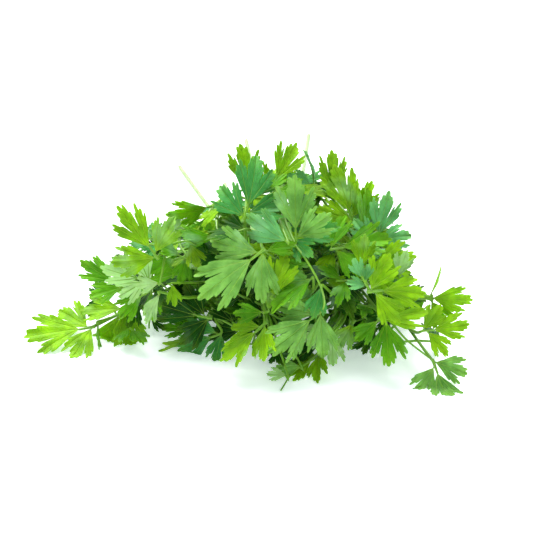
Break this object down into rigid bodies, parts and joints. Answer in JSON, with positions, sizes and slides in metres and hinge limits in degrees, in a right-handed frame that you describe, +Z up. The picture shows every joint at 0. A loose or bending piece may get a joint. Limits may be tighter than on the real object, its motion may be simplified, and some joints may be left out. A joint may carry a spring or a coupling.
{
  "type": "parsley bunch",
  "caption": "Loose bunch of cut flat-leaf parsley lying down, with a mound of lobed, toothed leaves in front and bare stalks fanned out behind.",
  "frame": {"origin": "on the surface that the bunch lies on, under the middle of its bounding box", "axes": "+X to the right seen from the leaf end, +Y along the stalks from the leaf end to the cut ends, +Z up"},
  "size_m": [0.2604, 0.3626, 0.1146],
  "materials": {
    "parsley": "fresh green leaf with a soft waxy sheen"
  },
  "bodies": {
    "root": {"frond_left_far": "parsley", "frond_left_low": "parsley", "frond_left_mid": "parsley", "frond_left_high": "parsley", "frond_left_top": "parsley", "frond_left_inner": "parsley", "frond_top_left": "parsley", "frond_centre_broad": "parsley", "frond_top_mid": "parsley", "frond_front": "parsley", "frond_centre_low": "parsley", "frond_top_right": "parsley", "frond_front_right": "parsley", "frond_right_top": "parsley", "frond_right_high": "parsley", "frond_right_mid": "parsley", "frond_right_low": "parsley", "frond_right_far": "parsley"}
  },
  "joints": []
}
